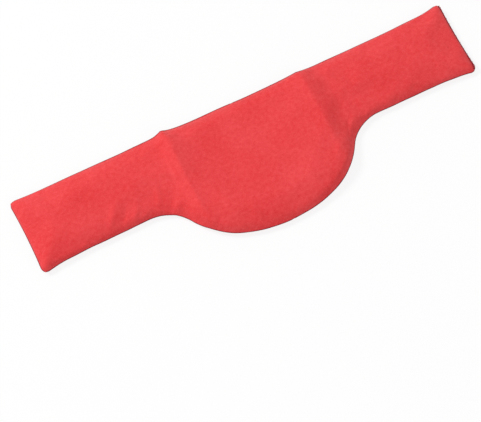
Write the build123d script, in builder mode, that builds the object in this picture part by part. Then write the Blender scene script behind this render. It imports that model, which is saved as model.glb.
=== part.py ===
"""Contoured eye pillow: a long soft band with a half-round lobe, folding at two creases.

Frame: +X along the band, the lobe points to -Y, +Z is up. The origin is the middle of the
pillow's footprint, on the surface that it lies on. All sizes are in millimetres.

The pillow is a sewn cover around a sewn inner pouch around loose seed fill. Each of these is
the same cushion shape, drawn smaller: at a depth under the cover's faces and a margin in from
its edge seam. Two creases part every layer into a left arm, a centre and a right arm, and each
part tapers to the crease line so that the arms can fold to either side.
"""

import os
from math import radians, sin, sqrt, tan

from build123d import *

# Overall sizes, edge seam to edge seam
length = 460.0
arm_width = 72.0
overall_depth = 130.0
thickness = 12.0
seam_height = 4.5  # the edge seam above the underside

# Outline curves, each one tangent to the next
bottom_radius = 125.0  # the shallow curve along the bottom of the lobe
shoulder_radius = 50.0  # the rounder curve at each side of the lobe
shoulder_x = 38.0  # centre of the shoulder curve from the middle
neck_radius = 35.0  # the inside curve between lobe and arm
corner_radius = 5.0
least_corner_radius = 0.3

# Creases
crease_x = 72.0  # each crease line from the middle
crease_gap = 0.3  # left free between an arm and the centre
crease_slope = 20.0  # degrees, from the seam plane up to a face beside the crease

# Cloth and thread
cover_cloth = 0.8
seam_allowance = 5.0  # cover cloth turned inwards along the edge seam
cover_clearance = 0.3  # cover to pouch
pouch_cloth = 0.5
pouch_hem = 4.0  # the flat sewn rim around the pouch
fill_clearance = 0.2  # pouch to fill
cover_thread = 0.5
cover_thread_inset = 1.5  # seam line, from the turned edge
pouch_thread = 0.4
pouch_thread_inset = 2.5  # seam line, from the outer edge of the hem

# Rows of hand stitches
partition_pitch = 4.5
partition_length = 3.0
closing_pitch = 5.0
closing_length = 2.4
closing_thread = 0.6
row_end_margin = 8.0  # end of a row of stitches to the nearest corner

# Section through the cushion: distance in from the seam, and share of the way out to the face
back_section = [(5.0, 1.0), (1.2, 0.65)]
front_section = [(1.5, 0.36), (5.0, 0.70), (11.0, 0.92), (17.0, 1.0)]

# Derived sizes
half_length = length / 2
straight_edge_y = overall_depth / 2
lobe_tip_y = -overall_depth / 2
arm_edge_y = straight_edge_y - arm_width
crown = thickness - seam_height
bottom_y = lobe_tip_y + bottom_radius
shoulder_y = bottom_y - sqrt((bottom_radius - shoulder_radius) ** 2 - shoulder_x**2)
neck_y = arm_edge_y - neck_radius
neck_x = shoulder_x + sqrt((shoulder_radius + neck_radius) ** 2 - (neck_y - shoulder_y) ** 2)
bottom_centre = Vector(0, bottom_y)
shoulder_centre = Vector(shoulder_x, shoulder_y)
neck_centre = Vector(neck_x, neck_y)

allowance_inner = cover_cloth + seam_allowance
hem_outer = allowance_inner + cover_clearance
pouch_depth = cover_cloth + cover_clearance
pouch_margin = hem_outer + pouch_hem
fill_depth = pouch_depth + pouch_cloth + fill_clearance
fill_margin = pouch_margin + pouch_cloth + fill_clearance
reach = 2 * length  # longer than anything that is cut


def toward(start, end, distance):
    """The point at a distance from start, in the direction of end."""
    return start + (end - start).normalized() * distance


def outline(inset, height):
    """The pillow's outline moved inwards by inset, as a sketch at a height."""
    end_x = half_length - inset
    top_y = straight_edge_y - inset
    arm_y = arm_edge_y + inset
    bottom = bottom_radius - inset
    shoulder = shoulder_radius - inset
    neck = neck_radius + inset
    neck_start = neck_centre + Vector(0, neck)
    neck_end = toward(neck_centre, shoulder_centre, neck)
    neck_mid = toward(neck_centre, (neck_start + neck_end) / 2, neck)
    shoulder_end = toward(bottom_centre, shoulder_centre, bottom)
    shoulder_mid = toward(shoulder_centre, (neck_end + shoulder_end) / 2, shoulder)
    tip = bottom_centre - Vector(0, bottom)
    with BuildSketch(Plane.XY.offset(height)) as face:
        with BuildLine():
            Polyline((0, top_y), (end_x, top_y), (end_x, arm_y), neck_start)
            ThreePointArc(neck_start, neck_mid, neck_end)
            ThreePointArc(neck_end, shoulder_mid, shoulder_end)
            ThreePointArc(shoulder_end, toward(bottom_centre, (shoulder_end + tip) / 2, bottom), tip)
            mirror(about=Plane.YZ)
        make_face()
        corners = face.vertices().filter_by_position(Axis.X, end_x, end_x)
        corners += face.vertices().filter_by_position(Axis.X, -end_x, -end_x)
        fillet(corners, max(corner_radius - inset, least_corner_radius))
    return face.sketch


def crease_cut(depth):
    """Clears both creases of a layer whose faces lie at a depth under the cover's faces."""
    slope = radians(crease_slope)
    waist = crease_gap / 2 + depth / sin(slope)
    flare = waist + thickness / tan(slope)
    low = seam_height - thickness
    high = seam_height + thickness
    with BuildPart() as cut:
        with BuildSketch(Plane.XZ):
            with Locations((-crease_x, 0), (crease_x, 0)):
                Polygon((-flare, high), (-waist, seam_height), (waist, seam_height), (flare, high), align=None)
                Polygon((-flare, low), (-waist, seam_height), (waist, seam_height), (flare, low), align=None)
        extrude(amount=reach, both=True)
    return cut.part


def cushion(depth, margin):
    """The cushion shape at a depth under the faces and a margin in from the edge seam."""
    with BuildPart() as layer:
        back = [outline(i + margin, seam_height - share * seam_height + depth) for i, share in back_section]
        front = [outline(i + margin, seam_height + share * crown - depth) for i, share in front_section]
        loft([*back, outline(margin, seam_height), *front], ruled=True)
        add(crease_cut(depth), mode=Mode.SUBTRACT)
    return layer.part


def band(outer_inset, inner_inset, low, high):
    """A flat ring that follows the outline between two insets, from one height to another."""
    with BuildPart() as ring:
        extrude(outline(outer_inset, low), amount=high - low)
        extrude(outline(inner_inset, low), amount=high - low, mode=Mode.SUBTRACT)
    return ring.part


def zone(x_low, x_high, z_low, z_high):
    """Everything between two x values and two heights, as a box to intersect with."""
    with BuildPart() as box:
        with Locations(((x_low + x_high) / 2, 0, (z_low + z_high) / 2)):
            Box(x_high - x_low, reach, z_high - z_low)
    return box.part



# The three bodies and the two sides of the seam plane, as boxes
left_arm = zone(-length, -crease_x, -thickness, 2 * thickness)
centre = zone(-crease_x, crease_x, -thickness, 2 * thickness)
right_arm = zone(crease_x, length, -thickness, 2 * thickness)
front = zone(-length, length, seam_height, 2 * thickness)
back = zone(-length, length, -thickness, seam_height)

# Cover: a hollow skin whose edges are turned in along the seam
with BuildPart() as cover_layer:
    add(cushion(0, 0))
    add(cushion(cover_cloth, cover_cloth), mode=Mode.SUBTRACT)
    add(band(cover_cloth, allowance_inner, seam_height - cover_cloth, seam_height + cover_cloth))
    add(crease_cut(0), mode=Mode.SUBTRACT)
with BuildPart() as cover_front:
    add(cover_layer)
    add(front, mode=Mode.INTERSECT)
with BuildPart() as cover_back:
    add(cover_layer)
    add(back, mode=Mode.INTERSECT)

# Pouch: a smaller hollow skin with a flat hem of two cloths around it
with BuildPart() as pouch_layer:
    add(band(hem_outer, pouch_margin + pouch_cloth, seam_height - pouch_cloth, seam_height + pouch_cloth))
    add(crease_cut(pouch_depth), mode=Mode.SUBTRACT)
    add(cushion(pouch_depth, pouch_margin))
    add(cushion(pouch_depth + pouch_cloth, pouch_margin + pouch_cloth), mode=Mode.SUBTRACT)
with BuildPart() as pouch_front:
    add(pouch_layer)
    add(front, mode=Mode.INTERSECT)
with BuildPart() as pouch_back:
    add(pouch_layer)
    add(back, mode=Mode.INTERSECT)

# Loose seed fill, one pocket in each body
with BuildPart() as fill:
    add(cushion(fill_depth, fill_margin))

# Seam threads: needle thread on the front of the seam, bobbin thread on its back
cover_line = cover_cloth + cover_thread_inset
cover_face = seam_height + cover_cloth
cover_under = seam_height - cover_cloth
with BuildPart() as cover_seam:
    add(band(cover_line, cover_line + cover_thread, cover_face, cover_face + cover_thread))
    add(band(cover_line, cover_line + cover_thread, cover_under - cover_thread, cover_under))
    add(crease_cut(cover_cloth), mode=Mode.SUBTRACT)
pouch_line = hem_outer + pouch_thread_inset
pouch_face = seam_height + pouch_cloth
pouch_under = seam_height - pouch_cloth
with BuildPart() as pouch_seam:
    add(band(pouch_line, pouch_line + pouch_thread, pouch_face, pouch_face + pouch_thread))
    add(band(pouch_line, pouch_line + pouch_thread, pouch_under - pouch_thread, pouch_under))
    add(crease_cut(pouch_depth), mode=Mode.SUBTRACT)

# Cover pieces
with BuildPart() as cover_front_left:
    add(cover_front)
    add(left_arm, mode=Mode.INTERSECT)
cover_front_left.part.label = "cover_front_left"

with BuildPart() as cover_front_centre:
    add(cover_front)
    add(centre, mode=Mode.INTERSECT)
cover_front_centre.part.label = "cover_front_centre"

with BuildPart() as cover_front_right:
    add(cover_front)
    add(right_arm, mode=Mode.INTERSECT)
cover_front_right.part.label = "cover_front_right"

with BuildPart() as cover_back_left:
    add(cover_back)
    add(left_arm, mode=Mode.INTERSECT)
cover_back_left.part.label = "cover_back_left"

with BuildPart() as cover_back_centre:
    add(cover_back)
    add(centre, mode=Mode.INTERSECT)
cover_back_centre.part.label = "cover_back_centre"

with BuildPart() as cover_back_right:
    add(cover_back)
    add(right_arm, mode=Mode.INTERSECT)
cover_back_right.part.label = "cover_back_right"

# Pouch pieces
with BuildPart() as pouch_front_left:
    add(pouch_front)
    add(left_arm, mode=Mode.INTERSECT)
pouch_front_left.part.label = "pouch_front_left"

with BuildPart() as pouch_front_centre:
    add(pouch_front)
    add(centre, mode=Mode.INTERSECT)
pouch_front_centre.part.label = "pouch_front_centre"

with BuildPart() as pouch_front_right:
    add(pouch_front)
    add(right_arm, mode=Mode.INTERSECT)
pouch_front_right.part.label = "pouch_front_right"

with BuildPart() as pouch_back_left:
    add(pouch_back)
    add(left_arm, mode=Mode.INTERSECT)
pouch_back_left.part.label = "pouch_back_left"

with BuildPart() as pouch_back_centre:
    add(pouch_back)
    add(centre, mode=Mode.INTERSECT)
pouch_back_centre.part.label = "pouch_back_centre"

with BuildPart() as pouch_back_right:
    add(pouch_back)
    add(right_arm, mode=Mode.INTERSECT)
pouch_back_right.part.label = "pouch_back_right"

# Fill
with BuildPart() as seed_fill_left:
    add(fill)
    add(left_arm, mode=Mode.INTERSECT)
seed_fill_left.part.label = "seed_fill_left"

with BuildPart() as seed_fill_centre:
    add(fill)
    add(centre, mode=Mode.INTERSECT)
seed_fill_centre.part.label = "seed_fill_centre"

with BuildPart() as seed_fill_right:
    add(fill)
    add(right_arm, mode=Mode.INTERSECT)
seed_fill_right.part.label = "seed_fill_right"

# Seam threads
with BuildPart() as cover_seam_thread_left:
    add(cover_seam)
    add(left_arm, mode=Mode.INTERSECT)
cover_seam_thread_left.part.label = "cover_seam_thread_left"

with BuildPart() as cover_seam_thread_centre:
    add(cover_seam)
    add(centre, mode=Mode.INTERSECT)
cover_seam_thread_centre.part.label = "cover_seam_thread_centre"

with BuildPart() as cover_seam_thread_right:
    add(cover_seam)
    add(right_arm, mode=Mode.INTERSECT)
cover_seam_thread_right.part.label = "cover_seam_thread_right"

with BuildPart() as pouch_seam_thread_left:
    add(pouch_seam)
    add(left_arm, mode=Mode.INTERSECT)
pouch_seam_thread_left.part.label = "pouch_seam_thread_left"

with BuildPart() as pouch_seam_thread_centre:
    add(pouch_seam)
    add(centre, mode=Mode.INTERSECT)
pouch_seam_thread_centre.part.label = "pouch_seam_thread_centre"

with BuildPart() as pouch_seam_thread_right:
    add(pouch_seam)
    add(right_arm, mode=Mode.INTERSECT)
pouch_seam_thread_right.part.label = "pouch_seam_thread_right"

# Partition stitches, through both pouch cloths where the centre pocket tapers out
partition_x = crease_x - crease_gap / 2 - (pouch_depth + pouch_cloth / 2) / sin(radians(crease_slope))
partition_top = straight_edge_y - pouch_margin - row_end_margin
partition_bottom = arm_edge_y + pouch_margin
partition_count = int((partition_top - partition_bottom) / partition_pitch)
partition_y = (partition_top + partition_bottom) / 2
with BuildPart() as partition_stitch_left:
    with Locations((-partition_x, partition_y, seam_height)):
        with GridLocations(0, partition_pitch, 1, partition_count):
            Box(cover_thread, partition_length, thickness)
    add(cushion(pouch_depth, pouch_margin), mode=Mode.INTERSECT)
partition_stitch_left.part.label = "partition_stitch_left"

with BuildPart() as partition_stitch_right:
    with Locations((partition_x, partition_y, seam_height)):
        with GridLocations(0, partition_pitch, 1, partition_count):
            Box(cover_thread, partition_length, thickness)
    add(cushion(pouch_depth, pouch_margin), mode=Mode.INTERSECT)
partition_stitch_right.part.label = "partition_stitch_right"

# Closing stitches, over the edge seam along the right end, where the pouch went in
closing_count = int((arm_width - 2 * row_end_margin) / closing_pitch) + 1
with BuildPart() as closing_stitch:
    with Locations((half_length - closing_thread / 2, straight_edge_y - arm_width / 2, seam_height)):
        with GridLocations(0, closing_pitch, 1, closing_count):
            Box(closing_thread, closing_thread, closing_length)
closing_stitch.part.label = "closing_stitch"

os.makedirs("parts", exist_ok=True)
export_step(cover_front_left.part, "parts/cover_front_left.step")
export_step(cover_front_centre.part, "parts/cover_front_centre.step")
export_step(cover_front_right.part, "parts/cover_front_right.step")
export_step(cover_back_left.part, "parts/cover_back_left.step")
export_step(cover_back_centre.part, "parts/cover_back_centre.step")
export_step(cover_back_right.part, "parts/cover_back_right.step")
export_step(pouch_front_left.part, "parts/pouch_front_left.step")
export_step(pouch_front_centre.part, "parts/pouch_front_centre.step")
export_step(pouch_front_right.part, "parts/pouch_front_right.step")
export_step(pouch_back_left.part, "parts/pouch_back_left.step")
export_step(pouch_back_centre.part, "parts/pouch_back_centre.step")
export_step(pouch_back_right.part, "parts/pouch_back_right.step")
export_step(seed_fill_left.part, "parts/seed_fill_left.step")
export_step(seed_fill_centre.part, "parts/seed_fill_centre.step")
export_step(seed_fill_right.part, "parts/seed_fill_right.step")
export_step(cover_seam_thread_left.part, "parts/cover_seam_thread_left.step")
export_step(cover_seam_thread_centre.part, "parts/cover_seam_thread_centre.step")
export_step(cover_seam_thread_right.part, "parts/cover_seam_thread_right.step")
export_step(pouch_seam_thread_left.part, "parts/pouch_seam_thread_left.step")
export_step(pouch_seam_thread_centre.part, "parts/pouch_seam_thread_centre.step")
export_step(pouch_seam_thread_right.part, "parts/pouch_seam_thread_right.step")
export_step(partition_stitch_left.part, "parts/partition_stitch_left.step")
export_step(partition_stitch_right.part, "parts/partition_stitch_right.step")
export_step(closing_stitch.part, "parts/closing_stitch.step")
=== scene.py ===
# %% [markdown]
# # A contoured eye pillow
# This lesson builds the cloth look of a long, soft, seed-filled eye pillow around its CAD
# model. The CAD model fixes the size and the place of everything. Here we only make what the
# eye sees: the brushed red cover, its seams, its folds and its stitches.

import math

import bpy
import numpy as np
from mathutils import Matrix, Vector, noise


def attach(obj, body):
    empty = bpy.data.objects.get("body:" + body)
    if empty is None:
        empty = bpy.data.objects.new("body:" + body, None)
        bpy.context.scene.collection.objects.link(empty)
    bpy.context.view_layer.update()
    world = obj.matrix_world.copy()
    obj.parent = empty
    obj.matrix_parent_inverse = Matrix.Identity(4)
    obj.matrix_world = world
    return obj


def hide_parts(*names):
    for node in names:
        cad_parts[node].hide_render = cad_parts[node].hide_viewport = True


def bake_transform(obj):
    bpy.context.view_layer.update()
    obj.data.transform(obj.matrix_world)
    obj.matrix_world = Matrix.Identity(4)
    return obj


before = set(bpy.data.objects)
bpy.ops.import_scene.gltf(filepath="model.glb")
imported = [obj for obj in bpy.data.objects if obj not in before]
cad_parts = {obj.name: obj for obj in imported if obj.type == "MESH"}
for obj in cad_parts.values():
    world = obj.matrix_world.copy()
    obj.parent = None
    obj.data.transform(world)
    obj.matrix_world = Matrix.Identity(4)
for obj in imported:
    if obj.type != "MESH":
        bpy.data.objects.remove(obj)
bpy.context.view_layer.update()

# %% [markdown]
# ## Measurements
# Everything about the shape is named once, in metres. The pillow lies flat, its length along X,
# its straight edge at +Y and its lobe at -Y. The two creases are soft ridges, left from the way
# that it was folded: each has a steep flank outside and a long, gentle one towards the middle.
# CREASE is how far each hinge lies from the middle. The cloth bends over ZONE on both its sides.

# %% Measurements
HALF_LENGTH = 0.2300
STRAIGHT_Y = 0.0650
SEAM_Z = 0.0045
CROWN_Z = 0.0128
CLOTH = 0.0008
CREASE, ZONE = 0.072, 0.010
LEFT_CREST, RIGHT_CREST = -0.0730, 0.0690
COLUMNS, ROWS = 240, 44
print(f"{2 * HALF_LENGTH * 1000:.0f} mm long, {CROWN_Z * 1000:.1f} mm thick")

# %% [markdown]
# ## Small helpers
# A smoothstep rises from 0 to 1 with no corner at either end, which is how cloth leaves a
# crease. The noise helper gives smooth random waves that are the same on every run.

# %% Small helpers
def smooth(value, low, high):
    t = np.clip((value - low) / (high - low), 0, 1)
    return t * t * (3 - 2 * t)


def waves(x, y, scale, seed):
    points = np.stack([np.ravel(x) * scale, np.ravel(y) * scale, np.full(np.size(x), seed)], 1)
    return np.array([noise.noise(Vector(p)) for p in points]).reshape(np.shape(x))


print("smooth(0.5) =", float(smooth(0.5, 0, 1)))

# %% [markdown]
# ## The outline
# The upper edge is nearly straight. The lower edge is four stretches, each one tangent to the
# next: a shallow arc along the bottom of the lobe, a rounder arc at its shoulder, an inside arc
# at the neck, and the straight edge of the arm. A few radii say all of it, so we work out the
# centres and the places where the arcs meet. A sewn and turned edge pulls in between its
# corners, so the corners are left standing out a little, like small ears.

# %% The outline
ARM_Y = -0.0072
LOBE_TIP_Y = -0.0659
LOBE_SHIFT = 0.0010
BOTTOM_RADIUS, SHOULDER_RADIUS, NECK_RADIUS = 0.1355, 0.0750, 0.0400
SHOULDER_X = 0.0205

BOTTOM_Y = LOBE_TIP_Y + BOTTOM_RADIUS
SHOULDER_Y = BOTTOM_Y - math.sqrt((BOTTOM_RADIUS - SHOULDER_RADIUS) ** 2 - SHOULDER_X ** 2)
NECK_Y = ARM_Y - NECK_RADIUS
BETWEEN = SHOULDER_RADIUS + NECK_RADIUS
NECK_X = SHOULDER_X + math.sqrt(BETWEEN ** 2 - (NECK_Y - SHOULDER_Y) ** 2)
SHOULDER_START = SHOULDER_X * BOTTOM_RADIUS / (BOTTOM_RADIUS - SHOULDER_RADIUS)
NECK_START = (SHOULDER_X * NECK_RADIUS + NECK_X * SHOULDER_RADIUS) / BETWEEN


def arc(x, centre_x, centre_y, radius, side):
    """y on a circle at x, on its lower side for -1 and its upper side for 1."""
    return centre_y + side * np.sqrt(np.maximum(radius ** 2 - (x - centre_x) ** 2, 0))


def ears(x, size, width):
    """How far the edge stands out near both ends."""
    return size * np.exp(-((np.maximum(HALF_LENGTH - np.abs(x), 0) / width) ** 1.3))


def lower_edge(x):
    reach = np.abs(np.where(x > 0, x - LOBE_SHIFT, x))
    bottom = arc(reach, 0, BOTTOM_Y, BOTTOM_RADIUS, -1)
    shoulder = arc(reach, SHOULDER_X, SHOULDER_Y, SHOULDER_RADIUS, -1)
    neck = arc(reach, NECK_X, NECK_Y, NECK_RADIUS, 1)
    stretches = [reach < SHOULDER_START, reach < NECK_START, reach < NECK_X]
    edge = np.select(stretches, [bottom, shoulder, neck], ARM_Y)
    puckers = 0.0007 * waves(x, x * 0, 45, 3.1)
    return edge - ears(reach, 0.0048, 0.020) + puckers


def upper_edge(x):
    corner_size = np.where(x > 0, 0.0044, 0.0014)
    kinks = 0.0032 * np.exp(-np.abs(x - LEFT_CREST) / 0.007)
    kinks += 0.0010 * np.exp(-np.abs(x - RIGHT_CREST) / 0.009)
    dip = 0.0004 + 0.0009 * smooth(x, -0.05, 0.06) * (1 - smooth(x, 0.14, 0.21))
    puckers = 0.0005 * waves(x, x * 0, 38, 8.4)
    return STRAIGHT_Y - dip + ears(x, corner_size, 0.016) + kinks + puckers


def end_x(side, t):
    """How far out each end stands, t = 0 at the straight edge and 1 at the lower one."""
    bow = -0.0016 * np.sin(np.pi * t) ** 0.6
    lean = -0.0020 * t
    return side * (HALF_LENGTH + 0.0004 + bow + lean)


print("lobe reaches", float(lower_edge(np.array([0.0]))[0]))

# %% [markdown]
# ## The grid
# The cover is two cloths sewn together round their edge, so one grid can serve for both: the
# same columns and rows, seen from above, once for the front and once for the back. The columns
# run from end to end and the rows from the straight edge to the lower one. A column falls
# exactly on the middle, because the cover is later parted there.

# %% The grid
def smooth_rows(t):
    """Rows drawn closer together towards both seams."""
    return t - 0.11 * np.sin(2 * np.pi * t)


def plan_grid():
    """x, y of every grid point, as (columns, rows)."""
    steps = np.linspace(-1, 1, COLUMNS + 1)
    across = smooth_rows(np.linspace(0, 1, ROWS + 1))
    columns = np.sign(steps) * (1 - (1 - np.abs(steps)) ** 1.12)
    x = np.zeros((COLUMNS + 1, ROWS + 1))
    for row, t in enumerate(across):
        left, right = end_x(-1, t), end_x(1, t)
        x[:, row] = np.where(columns < 0, -columns * left, columns * right)
    top, low = upper_edge(x), lower_edge(x)
    y = top + (low - top) * across[None, :]
    return round_corners(x, y)


def round_corners(x, y, radius=0.0075):
    """Bends the square corners of the grid onto quarter circles."""
    for column in (0, -1):
        for row in (0, -1):
            to_end = np.clip(1 - np.abs(x - x[column, row]) / radius, 0, 1)
            to_edge = np.clip(1 - np.abs(y - y[:, row][:, None]) / radius, 0, 1)
            near = (to_end > 0) & (to_edge > 0)
            pull_x = to_end * (1 - np.sqrt(1 - to_edge ** 2 / 2)) * radius * np.sign(x[column, row])
            pull_y = to_edge * (1 - np.sqrt(1 - to_end ** 2 / 2)) * radius * (1 if row == 0 else -1)
            x, y = np.where(near, x - pull_x, x), np.where(near, y - pull_y, y)
    return x, y


GRID_X, GRID_Y = plan_grid()
print("grid", GRID_X.shape, "middle column at", float(np.abs(GRID_X[COLUMNS // 2]).max()))

# %% [markdown]
# ## Distance from the seam
# A stuffed pad is thin at its seam and reaches its full thickness a little way in. So the one
# thing that the height depends on is how far a point is from the nearest seam.

# %% Distance from the seam
def seam_distance(x, y):
    edge = np.concatenate([
        np.stack([x[:, 0], y[:, 0]], 1), np.stack([x[-1, :], y[-1, :]], 1),
        np.stack([x[::-1, -1], y[::-1, -1]], 1), np.stack([x[0, ::-1], y[0, ::-1]], 1)])
    start, along = edge, np.roll(edge, -1, 0) - edge
    size = np.maximum((along ** 2).sum(1), 1e-12)
    points = np.stack([x.ravel(), y.ravel()], 1)
    best = np.full(len(points), 1.0)
    for s, a, q in zip(start, along, size):
        t = np.clip(((points - s) @ a) / q, 0, 1)
        best = np.minimum(best, np.hypot(*(points - s - t[:, None] * a).T))
    return best.reshape(x.shape)


INSET = seam_distance(GRID_X, GRID_Y)
print(f"the middle is {INSET.max() * 1000:.0f} mm from a seam")

# %% [markdown]
# ## The stuffed shape
# The front swells from the seam to a broad, nearly flat crown. The back does the same the other
# way, but the table stops it, so it is flat almost everywhere. A little slow waviness stands
# for seed that has settled unevenly.

# %% The stuffed shape
def front_height(x, y, inset):
    u = np.clip(inset / 0.019, 0, 1)
    crown = (1 - (1 - u) ** 2.7) ** 0.86
    settled = 0.0007 * waves(x, y, 26, 1.7) + 0.0004 * waves(x, y, 60, 5.2)
    return SEAM_Z + (CROWN_Z - SEAM_Z) * crown + settled * smooth(inset, 0.004, 0.02)


def back_height(inset):
    u = np.clip(inset / 0.008, 0, 1)
    return SEAM_Z * (1 - u) ** 2.2


def relaxed(height, rounds):
    """Heights averaged with their neighbours, the seam kept, so that no sharp hip is left."""
    for _ in range(rounds):
        mean = (height[:-2, 1:-1] + height[2:, 1:-1] + height[1:-1, :-2] + height[1:-1, 2:]) / 4
        height[1:-1, 1:-1] = 0.4 * height[1:-1, 1:-1] + 0.6 * mean
    return height


FRONT_Z = relaxed(front_height(GRID_X, GRID_Y, INSET), 9)
BACK_Z = back_height(INSET)
print(f"front {FRONT_Z.min() * 1000:.1f} to {FRONT_Z.max() * 1000:.1f} mm")

# %% [markdown]
# ## Letting the cloth take over
# Real cloth gathers where it is sewn. We join both grids into one closed bag, let Blender's
# cloth solver blow it up slightly with a small pressure and no gravity, and keep the little
# movements that it finds, capped so that the pad stays its true size.

# %% Letting the cloth take over
def grid_faces(columns, rows, offset=0, flip=False):
    faces = []
    for i in range(columns - 1):
        for j in range(rows - 1):
            a, b = offset + i * rows + j, offset + (i + 1) * rows + j
            quad = (a, a + 1, b + 1, b)
            faces.append(quad[::-1] if flip else quad)
    return faces


def inflate(x, y, front, back, cap):
    """The front's and back's own movement after a short cloth simulation."""
    rows = x.shape[1]
    count = x.size
    top = np.stack([x.ravel(), y.ravel(), front.ravel()], 1)
    low = np.stack([x.ravel(), y.ravel(), back.ravel()], 1)
    rim = np.zeros(x.shape, bool)
    rim[0], rim[-1], rim[:, 0], rim[:, -1] = True, True, True, True
    shared = rim.ravel()
    low_index = np.where(shared, np.arange(count), count + np.cumsum(~shared) - 1)
    points = np.concatenate([top, low[~shared]])
    faces = grid_faces(x.shape[0], rows)
    faces += [tuple(int(low_index[v]) for v in quad[::-1]) for quad in grid_faces(x.shape[0], rows)]
    mesh = bpy.data.meshes.new("bag")
    mesh.from_pydata(points.tolist(), [], faces)
    bag = bpy.data.objects.new("bag", mesh)
    bpy.context.collection.objects.link(bag)
    cloth = bag.modifiers.new("Cloth", "CLOTH")
    cloth.settings.quality = 5
    cloth.settings.tension_stiffness = 25
    cloth.settings.compression_stiffness = 25
    cloth.settings.shear_stiffness = 12
    cloth.settings.bending_stiffness = 0.4
    cloth.settings.shrink_min = -0.012
    cloth.settings.use_pressure = True
    cloth.settings.uniform_pressure_force = 3.0
    cloth.settings.effector_weights.gravity = 0
    cloth.collision_settings.use_collision = False
    scene = bpy.context.scene
    for step in range(1, 15):
        scene.frame_set(step)
    after = bag.evaluated_get(bpy.context.evaluated_depsgraph_get()).to_mesh()
    moved = np.array([v.co[:] for v in after.vertices]) - points
    scene.frame_set(1)
    bpy.data.objects.remove(bag)
    moved[:, :2] *= 0.3
    moved[:count][shared] *= 0.25
    size = np.linalg.norm(moved, axis=1, keepdims=True)
    moved *= np.minimum(1, cap / np.maximum(size, 1e-9))
    shape = (*x.shape, 3)
    return moved[:count].reshape(shape), moved[low_index].reshape(shape)


FRONT_MOVE, BACK_MOVE = inflate(GRID_X, GRID_Y, FRONT_Z, BACK_Z, 0.0025)
print(f"cloth moved up to {np.linalg.norm(FRONT_MOVE, axis=2).max() * 1000:.1f} mm")

# %% [markdown]
# ## Folds and wrinkles
# Each crease is a mountain: a crisp crest, a steep flank outside it and a long gentle slope
# inside. The back is lifted under it too, but less. Short wrinkles start at the necks, where
# the seam turns, and run off slantwise on the left arm. Along every seam the cloth puckers.

# %% Folds and wrinkles
LEFT_FOLD, RIGHT_FOLD, UNDER_FOLD = 0.0070, 0.0062, 0.0024
SEAM_SHARE = 0.40  # how much of a fold's height its seam keeps


def ridge(x, crest, outward, steep, gentle):
    """1 at the crest, falling over steep metres outwards and gentle metres inwards."""
    away = (x - crest) * outward
    outer = 1 - smooth(away, -0.0030, steep)
    inner = np.exp(-np.maximum(-away, 0) / gentle)
    return np.where(away > 0, outer, inner * (1 - smooth(0.0, -0.0030, steep)))


def folds(x, y):
    widen = 0.5 - y / 0.144
    wander = 0.0008 * waves(x * 0, y, 22, 9.3)
    left = ridge(x + wander, LEFT_CREST, -1, 0.0115, 0.020)
    right = ridge(x + wander, RIGHT_CREST, 1, 0.021 + 0.006 * widen, 0.026)
    return LEFT_FOLD * left + RIGHT_FOLD * right


def under_folds(x):
    return UNDER_FOLD * np.clip(1 - np.abs(np.abs(x) - CREASE) / ZONE, 0, 1)


def wrinkles(x, y, inset):
    total = np.zeros(x.shape)
    for cx, cy, angle, length, width, height in WRINKLES:
        along = (x - cx) * math.cos(angle) + (y - cy) * math.sin(angle)
        across = -(x - cx) * math.sin(angle) + (y - cy) * math.cos(angle)
        bend = across - 0.12 * along ** 2 / length
        total += height * np.exp(-(along / length) ** 2 * 3 - (bend / width) ** 2)
    puckers = waves(x, y, 105, 2.6) * np.exp(-inset / 0.007) * smooth(inset, 0, 0.002)
    return total + 0.0013 * puckers


WRINKLES = [
    (-0.150, 0.006, 0.9, 0.020, 0.0030, 0.0011), (-0.139, 0.004, 0.95, 0.018, 0.0026, -0.0009),
    (-0.128, 0.002, 1.0, 0.020, 0.0030, 0.0010), (-0.104, 0.004, 1.25, 0.020, 0.0028, 0.0012),
    (-0.094, -0.002, 1.0, 0.018, 0.0026, -0.0010), (-0.088, -0.008, 0.75, 0.020, 0.0030, 0.0012),
    (0.094, -0.003, 2.1, 0.018, 0.0030, 0.0009), (0.104, 0.003, 1.9, 0.018, 0.0028, -0.0008),
    (-0.030, -0.046, 1.4, 0.014, 0.0030, 0.0006), (0.034, -0.044, 1.8, 0.014, 0.0030, 0.0006),
    (0.196, 0.008, 2.2, 0.018, 0.0030, 0.0007), (-0.205, 0.046, 2.4, 0.016, 0.0030, 0.0006),
]
EDGE = smooth(INSET, 0, 0.006)
fold_height = folds(GRID_X, GRID_Y)
seam_lift = SEAM_SHARE * fold_height
under_lift = under_folds(GRID_X)
FRONT = np.stack([GRID_X, GRID_Y, FRONT_Z], 2) + FRONT_MOVE
FRONT[..., 2] += fold_height + wrinkles(GRID_X, GRID_Y, INSET)
FRONT[..., 2] -= (1 - EDGE) * (fold_height - seam_lift)
BACK = np.stack([GRID_X, GRID_Y, BACK_Z], 2) + BACK_MOVE
BACK[..., 2] = np.maximum(BACK[..., 2], 0.0002) + under_lift
BACK[..., 2] += (1 - EDGE) * np.maximum(seam_lift - under_lift, 0)
for seam in (np.s_[0], np.s_[-1], np.s_[:, 0], np.s_[:, -1]):
    BACK[seam] = FRONT[seam]
print(f"highest crest {FRONT[..., 2].max() * 1000:.1f} mm")

# %% [markdown]
# ## Cloths with a thickness
# Each cloth is a thin closed shell: the outside, an inside 0.8 mm behind it, and a rim. The
# cover is parted at the middle into a left and a right half, because a piece of cloth can
# bend between two bodies at most. Both halves take their shading normals from the whole cloth,
# so the parting doesn't show.

# %% Cloths with a thickness
def outward_normals(points, up):
    along = np.gradient(points, axis=0)
    across = np.gradient(points, axis=1)
    normal = np.cross(across, along) * up
    normal /= np.maximum(np.linalg.norm(normal, axis=2, keepdims=True), 1e-9)
    return normal


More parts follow.
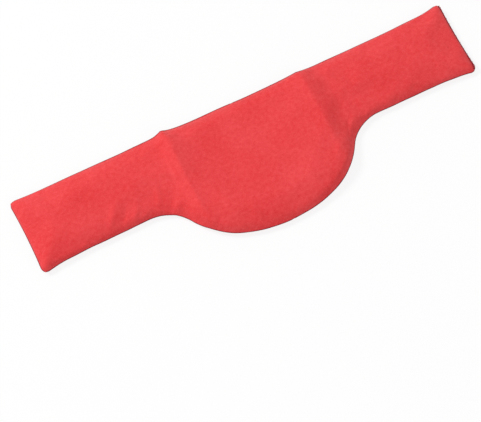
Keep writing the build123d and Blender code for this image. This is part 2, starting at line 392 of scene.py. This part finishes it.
def cloth_shell(name, points, normals, up, flat):
    """A closed cloth. flat is where each point lies on the unfolded cloth, for its weave."""
    columns, rows, _ = points.shape
    inner_step = normals.copy()
    for part in (np.s_[:, 0], np.s_[:, -1]):
        inner_step[part][..., 2] = 0
    inner = points - inner_step * CLOTH
    vertices = np.concatenate([points.reshape(-1, 3), inner.reshape(-1, 3)])
    shading = np.concatenate([normals.reshape(-1, 3), -normals.reshape(-1, 3)])
    count = columns * rows
    faces = grid_faces(columns, rows, 0, up < 0) + grid_faces(columns, rows, count, up > 0)
    border = [i * rows for i in range(columns)]
    border += [(columns - 1) * rows + j for j in range(1, rows)]
    border += [i * rows + rows - 1 for i in range(columns - 2, -1, -1)]
    border += list(range(rows - 2, 0, -1))
    for a, b in zip(border, border[1:] + border[:1]):
        quad = (a, b, b + count, a + count)
        faces.append(quad if up > 0 else quad[::-1])
    mesh = bpy.data.meshes.new(name)
    mesh.from_pydata(vertices.tolist(), [], faces)
    layer = mesh.uv_layers.new(name="flat_cloth")
    both_sides = np.tile(flat.reshape(-1, 2), (2, 1)) + 0.5
    loops = np.array([loop.vertex_index for loop in mesh.loops])
    layer.data.foreach_set("uv", both_sides[loops].ravel())
    mesh.polygons.foreach_set("use_smooth", [True] * len(faces))
    mesh.normals_split_custom_set_from_vertices(shading.tolist())
    piece = bpy.data.objects.new(name, mesh)
    bpy.context.collection.objects.link(piece)
    return piece


MIDDLE = COLUMNS // 2
HALVES = {"left": np.s_[: MIDDLE + 1], "right": np.s_[MIDDLE:]}
PLAN = np.stack([GRID_X, GRID_Y], 2)
CLOTHS = {
    "front": (FRONT, outward_normals(FRONT, 1), 1, PLAN),
    "back": (BACK, outward_normals(BACK, -1), -1, PLAN + (0, 0.2)),
}
COVER = {}
for half, columns in HALVES.items():
    for face, (points, normals, up, flat) in CLOTHS.items():
        name = f"cover_cloth_{face}_{half}"
        COVER[face, half] = cloth_shell(name, points[columns], normals[columns], up, flat[columns])
print([piece.name for piece in COVER.values()])

# %% [markdown]
# ## The closing seam
# The cover was turned right side out through its right end, and then closed by hand. The two
# folded edges meet in a thin, pinched lip, with a row of small slanting stitches over it. The
# lip's dark red is painted shade, which stands in for the shade along the right end.

# %% The closing seam
def tube(name, paths, radius, sides=8, flatten=1.0):
    """Round threads along paths of points, closed at both ends, as one mesh."""
    vertices, faces = [], []
    for path in paths:
        path = np.asarray(path, float)
        tangents = np.gradient(path, axis=0)
        first = len(vertices)
        for k, (point, tangent) in enumerate(zip(path, tangents)):
            tangent = tangent / np.linalg.norm(tangent)
            across = np.cross(tangent, (0, 0, 1.0) if abs(tangent[2]) < 0.9 else (0, 1.0, 0))
            across /= np.linalg.norm(across)
            upright = np.cross(across, tangent)
            ends = 0.45 if k in (0, len(path) - 1) else 1.0
            for m in range(sides):
                turn = 2 * math.pi * m / sides
                step = across * math.cos(turn) * flatten + upright * math.sin(turn)
                vertices.append((point + step * radius * ends).tolist())
        for k in range(len(path) - 1):
            for m in range(sides):
                a, b = first + k * sides + m, first + k * sides + (m + 1) % sides
                faces.append((a, b, b + sides, a + sides))
        faces.append(tuple(first + m for m in reversed(range(sides))))
        faces.append(tuple(len(vertices) - sides + m for m in range(sides)))
    mesh = bpy.data.meshes.new(name)
    mesh.from_pydata(vertices, [], faces)
    mesh.polygons.foreach_set("use_smooth", [True] * len(faces))
    piece = bpy.data.objects.new(name, mesh)
    bpy.context.collection.objects.link(piece)
    return piece


STITCHES = 15
FIRST_ROW = 2  # the lip starts and ends this many rows from the corners
lip_path = FRONT[-1, FIRST_ROW:-FIRST_ROW] + np.array([-0.0006, 0, 0.0013])
closing_lip = tube("closing_lip", [lip_path], 0.0015, 12, flatten=0.8)
stitch_paths = []
for t in np.linspace(0.11, 0.89, STITCHES):
    place = t * ROWS - FIRST_ROW
    k = int(place)
    here = lip_path[k] + (lip_path[k + 1] - lip_path[k]) * (place - k)
    stitch_paths.append([
        here + np.array([0.0016 * math.sin(a * 1.5), 0.0011 * a, 0.0016 * math.cos(a * 1.5)])
        for a in np.linspace(-1.0, 1.0, 9)])
closing_stitches = tube("closing_stitches", stitch_paths, 0.00026, 8)
print(len(stitch_paths), "closing stitches")

# %% [markdown]
# ## The edge seam
# Round the rest of the pad the two cloths meet in a turned seam. Its pinched edge is a thin tube
# whose dark red cloth paints the shade along the seam, as a darker line seen from every side.
# It is parted at the middle like the cloths.

# %% The edge seam
SEAM_PATHS = {
    "left": [FRONT[MIDDLE:0:-1, 0], FRONT[0, :-1], FRONT[:MIDDLE + 1, -1]],
    "right": [FRONT[MIDDLE:, 0], FRONT[-1, 1:-1], FRONT[:MIDDLE - 1:-1, -1]],
}
EDGE_SEAM = {
    half: tube(f"edge_seam_{half}", [np.concatenate(path)], 0.00042)
    for half, path in SEAM_PATHS.items()}
print("edge seams:", [piece.name for piece in EDGE_SEAM.values()])

# %% [markdown]
# ## A small language for materials
# Shader graphs are sums and products of signals. This class wraps one output socket and lets
# Python's own operators build the Math nodes, so a material reads like a formula. Any other
# node comes from one method, which takes the node's type, its settings and its inputs.

# %% A small language for materials
class Signal:
    def __init__(self, tree, socket):
        self.tree, self.socket = tree, socket

    def math(self, operation, *others):
        node = self.tree.nodes.new("ShaderNodeMath")
        node.operation = operation
        for slot, value in zip(node.inputs, (self, *others)):
            connect(self.tree, value, slot)
        return Signal(self.tree, node.outputs[0])

    def after(self, operation, other):
        """The same with the other value first, for 1 - signal and 1 / signal."""
        return self.node("ShaderNodeMath", {"operation": operation}, {0: other, 1: self})

    def __add__(self, other): return self.math("ADD", other)
    def __radd__(self, other): return self.math("ADD", other)
    def __sub__(self, other): return self.math("SUBTRACT", other)
    def __rsub__(self, other): return self.after("SUBTRACT", other)
    def __mul__(self, other): return self.math("MULTIPLY", other)
    def __rmul__(self, other): return self.math("MULTIPLY", other)
    def __truediv__(self, other): return self.math("DIVIDE", other)
    def __rtruediv__(self, other): return self.after("DIVIDE", other)
    def __pow__(self, other): return self.math("POWER", other)
    def __neg__(self): return self.math("MULTIPLY", -1.0)

    def node(self, kind, settings=None, inputs=None, output=0):
        made = self.tree.nodes.new(kind)
        for key, value in (settings or {}).items():
            setattr(made, key, value)
        for key, value in (inputs or {}).items():
            connect(self.tree, value, made.inputs[key])
        return Signal(self.tree, made.outputs[output])

    def stretched(self, factors):
        return self.node("ShaderNodeVectorMath", {"operation": "MULTIPLY"}, {0: self, 1: factors})

    def blend_colours(self, first, second):
        """first where this signal is 0, second where it is 1."""
        made = self.tree.nodes.new("ShaderNodeMix")
        made.data_type = "RGBA"
        connect(self.tree, self, made.inputs[0])
        connect(self.tree, first, made.inputs[6])
        connect(self.tree, second, made.inputs[7])
        return Signal(self.tree, made.outputs[2])


def connect(tree, value, slot):
    if isinstance(value, Signal):
        tree.links.new(value.socket, slot)
    elif value is not None:
        slot.default_value = value


def material(name):
    made = bpy.data.materials.new(name)
    made.use_nodes = True
    shader = made.node_tree.nodes["Principled BSDF"]
    place = made.node_tree.nodes.new("ShaderNodeTexCoord")
    return made, shader, made.node_tree, place


def colour(red, green, blue):
    return (red, green, blue, 1.0)


print("material helpers ready")

# %% [markdown]
# ## The brushed red cloth
# The cover is a soft, short-napped cloth. Three scales make it: broad patches where the nap
# lies differently, a mottle of a few millimetres, and fine fibres over a close weave. The deep
# tone shows where the nap opens, and a sheen brightens the cloth where we look along it. The
# flat cloth's own coordinates are used, so the weave stays on the cloth when it folds.

# %% The brushed red cloth
def brushed_cloth(name, deep, body, bright):
    made, shader, tree, place = material(name)
    flat = Signal(tree, place.outputs["UV"])
    patches = flat.node("ShaderNodeTexNoise", {}, {"Vector": flat, "Scale": 22.0, "Detail": 3.0})
    mottle = flat.node("ShaderNodeTexNoise", {}, {
        "Vector": flat, "Scale": 260.0, "Detail": 5.0, "Roughness": 0.62})
    fibres = flat.node("ShaderNodeTexNoise", {}, {
        "Vector": flat.stretched((1.0, 0.45, 1.0)), "Scale": 1500.0, "Detail": 3.0, "Roughness": 0.7})
    warp, weft = (
        flat.node("ShaderNodeTexWave", {"bands_direction": way}, {
            "Vector": flat, "Scale": 330.0, "Distortion": 2.5, "Detail": 2.0, "Detail Scale": 3.0})
        for way in "XY")
    weave = warp * weft
    tone = (mottle - 0.5) * 1.7 + (patches - 0.5) * 1.0 + (fibres - 0.5) * 0.7 + 0.5
    clamped = tone.math("MAXIMUM", 0.0).math("MINIMUM", 1.0)
    ground = clamped.blend_colours(deep, body)
    nap = ((fibres - 0.52) * 4.0).math("MAXIMUM", 0.0).math("MINIMUM", 1.0) * 0.45
    brushed = nap.blend_colours(ground, bright)
    connect(tree, brushed, shader.inputs["Base Color"])
    connect(tree, 0.86 + (mottle - 0.5) * 0.16, shader.inputs["Roughness"])
    shader.inputs["Sheen Weight"].default_value = 0.22
    shader.inputs["Sheen Roughness"].default_value = 0.45
    shader.inputs["Sheen Tint"].default_value = colour(1.0, 0.55, 0.55)
    shader.inputs["Specular IOR Level"].default_value = 0.18
    height = mottle * 0.55 + fibres * 0.45 + weave * 0.18 + patches * 0.6
    bump = flat.node("ShaderNodeBump", {}, {"Strength": 0.55, "Distance": 0.0009, "Height": height})
    connect(tree, bump, shader.inputs["Normal"])
    return made


red_cloth = brushed_cloth(
    "brushed_red_cloth", colour(0.70, 0.030, 0.034), colour(0.82, 0.072, 0.077), colour(0.88, 0.135, 0.140))
for piece in COVER.values():
    piece.data.materials.append(red_cloth)
# Painted shade: the closing lip and the edge seams take a much darker red, which stands in for the shade at
# the pad's right end and along its seams.
seam_shade_cloth = brushed_cloth(
    "painted_shade_red_cloth", colour(0.17, 0.008, 0.014), colour(0.28, 0.016, 0.024), colour(0.40, 0.035, 0.04))
for piece in (closing_lip, *EDGE_SEAM.values()):
    piece.data.materials.append(seam_shade_cloth)
print("cover finished in", red_cloth.name)

# %% [markdown]
# ## Threads, cotton and seed
# The other finishes are quieter. Threads are twisted, so a slanting wave runs over them. The
# inner pouch is a plain cotton weave, and the fill is a mass of small brown seeds, which a
# cell pattern gives. They sit inside the cover, but they are finished like everything else.

# %% Threads, cotton and seed
def twisted_thread(name, dark, light):
    made, shader, tree, place = material(name)
    where = Signal(tree, place.outputs["Object"])
    twist = where.node("ShaderNodeTexWave", {"bands_direction": "DIAGONAL"}, {
        "Vector": where, "Scale": 700.0, "Distortion": 1.0})
    fuzz = where.node("ShaderNodeTexNoise", {}, {"Vector": where, "Scale": 2500.0, "Detail": 3.0})
    connect(tree, (twist * 0.7 + fuzz * 0.3).blend_colours(dark, light), shader.inputs["Base Color"])
    connect(tree, 0.62 + fuzz * 0.2, shader.inputs["Roughness"])
    shader.inputs["Sheen Weight"].default_value = 0.2
    bump = where.node("ShaderNodeBump", {}, {
        "Strength": 0.6, "Distance": 0.0002, "Height": twist + fuzz * 0.4})
    connect(tree, bump, shader.inputs["Normal"])
    return made


def plain_cotton(name, dark, light):
    made, shader, tree, place = material(name)
    where = Signal(tree, place.outputs["Object"])
    warp, weft = (
        where.node("ShaderNodeTexWave", {"bands_direction": way}, {
            "Vector": where, "Scale": 420.0, "Distortion": 0.8})
        for way in "XY")
    slub = where.node("ShaderNodeTexNoise", {}, {"Vector": where, "Scale": 180.0, "Detail": 4.0})
    weave = (warp + weft) * 0.5
    connect(tree, (weave * 0.5 + slub * 0.5).blend_colours(dark, light), shader.inputs["Base Color"])
    connect(tree, 0.8 + slub * 0.15, shader.inputs["Roughness"])
    bump = where.node("ShaderNodeBump", {}, {
        "Strength": 0.5, "Distance": 0.0003, "Height": weave + slub * 0.5})
    connect(tree, bump, shader.inputs["Normal"])
    return made


def seed_mass(name, dark, light):
    made, shader, tree, place = material(name)
    where = Signal(tree, place.outputs["Object"])
    seeds = where.node("ShaderNodeTexVoronoi", {}, {
        "Vector": where.stretched((1.0, 0.6, 1.0)), "Scale": 480.0})
    shade = where.node("ShaderNodeTexNoise", {}, {"Vector": where, "Scale": 300.0, "Detail": 2.0})
    connect(tree, (seeds * 0.8 + shade * 0.4).blend_colours(light, dark), shader.inputs["Base Color"])
    connect(tree, 0.28 + seeds * 0.3, shader.inputs["Roughness"])
    bump = where.node("ShaderNodeBump", {}, {"Strength": 0.9, "Distance": 0.0008, "Height": 1.0 - seeds})
    connect(tree, bump, shader.inputs["Normal"])
    return made


red_thread = twisted_thread("red_sewing_thread", colour(0.30, 0.015, 0.025), colour(0.62, 0.04, 0.05))
cotton_thread = twisted_thread("cotton_thread", colour(0.50, 0.45, 0.36), colour(0.78, 0.72, 0.60))
pouch_cotton = plain_cotton("natural_cotton", colour(0.60, 0.54, 0.44), colour(0.82, 0.77, 0.66))
flax_seed = seed_mass("flax_seed", colour(0.06, 0.026, 0.011), colour(0.26, 0.12, 0.045))
closing_stitches.data.materials.append(red_thread)
INNER = {"seed_fill": flax_seed, "pouch_front": pouch_cotton, "pouch_back": pouch_cotton,
         "cover_seam": red_thread, "pouch_seam": cotton_thread, "partition": cotton_thread}
for name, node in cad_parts.items():
    for start, finish in INNER.items():
        if name.startswith(start):
            node.data.materials.clear()
            node.data.materials.append(finish)
print("inner finishes:", sorted({m.name for m in INNER.values()}))

# %% [markdown]
# ## Joining the looks to the motion
# Each half of the cover and of the edge seam has its transform baked into its mesh; it is not
# bent. The closing lip and stitches go with the right arm. Every CAD node that a piece stands for is named.

# %% Joining the looks to the motion
def bend(piece, half):
    """Bakes a piece's transform into its mesh; the piece is not bent."""
    side = -1 if half == "left" else 1
    outer, inner = side * (CREASE + ZONE), side * (CREASE - ZONE)
    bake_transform(piece)


for (face, half), piece in COVER.items():
    bend(piece, half)
    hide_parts(f"cover_{face}_{half}", f"cover_{face}_centre")
for half, piece in EDGE_SEAM.items():
    bend(piece, half)
for piece in (closing_lip, closing_stitches):
    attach(piece, "right_arm")
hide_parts("closing_stitch")
print("pieces bend over", ZONE * 2000, "mm at each crease")

# %% [markdown]
# ## Floor and light
# The pad lies on a plain white floor. One large soft lamp stands behind and to the left, high
# up. A weaker one in front and the pale surroundings fill the shadows. The camera sees the
# floor nearly white, and everything else sees it as an ordinary matte floor.

# %% Floor and light
def white_floor():
    bpy.ops.mesh.primitive_plane_add(size=6, location=(0, 0, -0.0002))
    floor = bpy.context.object
    floor.name = "floor"
    made, shader, tree, _ = material("white_floor")
    shader.inputs["Base Color"].default_value = colour(0.86, 0.86, 0.86)
    shader.inputs["Roughness"].default_value = 0.9
    paths = tree.nodes.new("ShaderNodeLightPath")
    glow = tree.nodes.new("ShaderNodeEmission")
    glow.inputs["Strength"].default_value = 1.0
    mix = tree.nodes.new("ShaderNodeMixShader")
    share = Signal(tree, paths.outputs["Is Camera Ray"]) * 0.85
    connect(tree, share, mix.inputs[0])
    tree.links.new(shader.outputs[0], mix.inputs[1])
    tree.links.new(glow.outputs[0], mix.inputs[2])
    tree.links.new(mix.outputs[0], tree.nodes["Material Output"].inputs["Surface"])
    floor.data.materials.append(made)


def soft_lamp(name, place, aim, size, power):
    data = bpy.data.lights.new(name, "AREA")
    data.shape = "DISK"
    data.size = size
    data.energy = power
    lamp = bpy.data.objects.new(name, data)
    lamp.location = place
    lamp.rotation_euler = (Vector(aim) - Vector(place)).to_track_quat("-Z", "Y").to_euler()
    bpy.context.collection.objects.link(lamp)


white_floor()
soft_lamp("key", (-1.90, 2.05, 2.75), (0, 0, 0), 1.1, 106)
soft_lamp("fill", (0.90, -2.40, 2.40), (0, 0, 0), 2.0, 24)
world = bpy.data.worlds.new("surroundings")
bpy.context.scene.world = world
world.use_nodes = True
world.node_tree.nodes["Background"].inputs["Color"].default_value = (1, 1, 1, 1)
world.node_tree.nodes["Background"].inputs["Strength"].default_value = 0.49
print("two soft lamps and a pale room")

# %% [markdown]
# ## Camera
# The camera looks steeply down at the pad, turned a little, so that the pad runs uphill from
# left to right.

# %% Camera
def camera(azimuth, elevation, distance, aim, lens):
    a, e = math.radians(azimuth), math.radians(elevation)
    back = Vector((math.sin(a) * math.cos(e), -math.cos(a) * math.cos(e), math.sin(e)))
    data = bpy.data.cameras.new("camera")
    data.lens = lens
    eye = bpy.data.objects.new("camera", data)
    eye.location = Vector(aim) + back * distance
    eye.rotation_euler = back.to_track_quat("Z", "Y").to_euler()
    bpy.context.collection.objects.link(eye)
    bpy.context.scene.camera = eye


camera(-26.57, 71.17, 1.0406, (-0.0412, -0.0382, 0.0076), 84.2)
bpy.context.scene.view_settings.view_transform = "Standard"
print("camera set")
